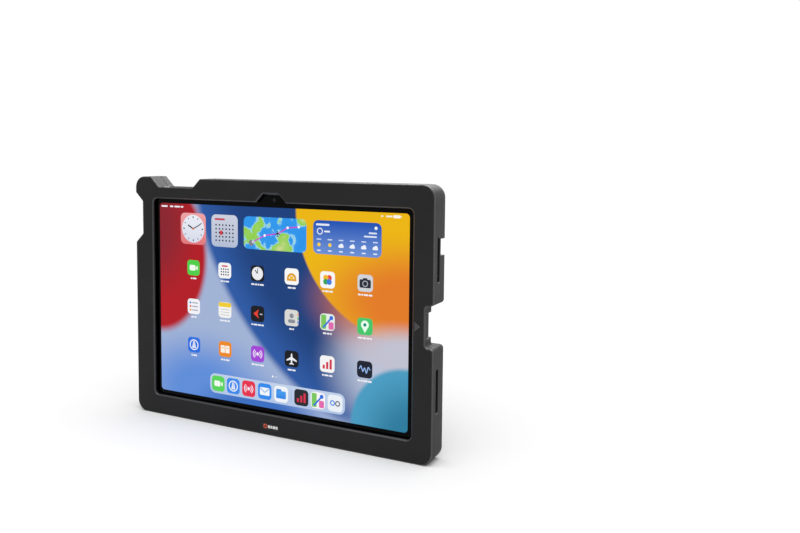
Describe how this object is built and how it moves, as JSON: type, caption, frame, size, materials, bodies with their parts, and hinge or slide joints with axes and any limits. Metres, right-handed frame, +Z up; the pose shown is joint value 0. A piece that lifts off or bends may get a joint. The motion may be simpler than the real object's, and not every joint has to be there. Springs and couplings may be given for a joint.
{
  "type": "tablet in rugged screwed case",
  "caption": "Touch-screen tablet in a machined two-shell hard case for cockpit use, with finger notches, camera cut-out, port notch and rear bracket pockets.",
  "frame": {"origin": "middle of the case's long bottom edge, halfway through its depth", "axes": "+X right as seen from the screen side, +Y towards the back (the screen faces -Y), +Z up"},
  "size_m": [0.2704, 0.02, 0.1997],
  "materials": {
    "case_acetal": "machined black acetal, fine matte tool finish",
    "black_oxide_steel": "black oxide socket-head screws",
    "brass": "turned, knurled",
    "ground_steel": "ground",
    "foam": "closed-cell foam",
    "white_label": "satin printed vinyl",
    "printed_badge": "domed print",
    "grey_marking": "filled engraving",
    "screen_glass": "polished cover glass",
    "display": "lit colour display",
    "anodised_aluminium": "bead-blasted, anodised grey",
    "battery_wrap": "foil pouch",
    "circuit_board": "solder mask",
    "tinned_steel": "tinned",
    "speaker_plastic": "moulded",
    "lens_glass": "coated lens"
  },
  "bodies": {
    "case": {"front_shell": "case_acetal", "rear_shell": "case_acetal", "case_screw_01": "black_oxide_steel", "case_screw_02": "black_oxide_steel", "case_screw_03": "black_oxide_steel", "case_screw_04": "black_oxide_steel", "case_screw_05": "black_oxide_steel", "case_screw_06": "black_oxide_steel", "case_screw_07": "black_oxide_steel", "case_screw_08": "black_oxide_steel", "case_screw_09": "black_oxide_steel", "case_screw_10": "black_oxide_steel", "case_screw_11": "black_oxide_steel", "threaded_insert_01": "brass", "threaded_insert_02": "brass", "threaded_insert_03": "brass", "threaded_insert_04": "brass", "threaded_insert_05": "brass", "threaded_insert_06": "brass", "threaded_insert_07": "brass", "threaded_insert_08": "brass", "threaded_insert_09": "brass", "threaded_insert_10": "brass", "threaded_insert_11": "brass", "dowel_pin_upper": "ground_steel", "dowel_pin_lower": "ground_steel", "charging_port": "ground_steel", "front_gasket": "foam", "rear_pad": "foam", "id_label": "white_label", "front_badge": "printed_badge", "direction_arrow": "grey_marking", "cover_glass": "screen_glass", "display_panel": "display", "tablet_housing": "anodised_aluminium", "camera_ring": "anodised_aluminium", "battery_left": "battery_wrap", "battery_right": "battery_wrap", "logic_board": "circuit_board", "board_shield": "tinned_steel", "microphone": "tinned_steel", "power_switch": "tinned_steel", "volume_up_switch": "tinned_steel", "volume_down_switch": "tinned_steel", "speaker_left_upper": "speaker_plastic", "speaker_left_lower": "speaker_plastic", "speaker_right_upper": "speaker_plastic", "speaker_right_lower": "speaker_plastic", "rear_camera_module": "speaker_plastic", "front_camera": "lens_glass", "camera_lens": "lens_glass"},
    "power_key": {"power_button": "anodised_aluminium"},
    "volume_up_key": {"volume_up_button": "anodised_aluminium"},
    "volume_down_key": {"volume_down_button": "anodised_aluminium"}
  },
  "joints": [
    {"name": "power_press", "type": "slide", "parent": "case", "child": "power_key", "axis": [1, 0, 0], "range_m": [0, 0.0003], "stiffness_N_per_m": 400, "springref_m": -0.001},
    {"name": "volume_up_press", "type": "slide", "parent": "case", "child": "volume_up_key", "axis": [0, 0, -1], "range_m": [0, 0.0003], "stiffness_N_per_m": 400, "springref_m": -0.001},
    {"name": "volume_down_press", "type": "slide", "parent": "case", "child": "volume_down_key", "axis": [0, 0, -1], "range_m": [0, 0.0003], "stiffness_N_per_m": 400, "springref_m": -0.001}
  ]
}
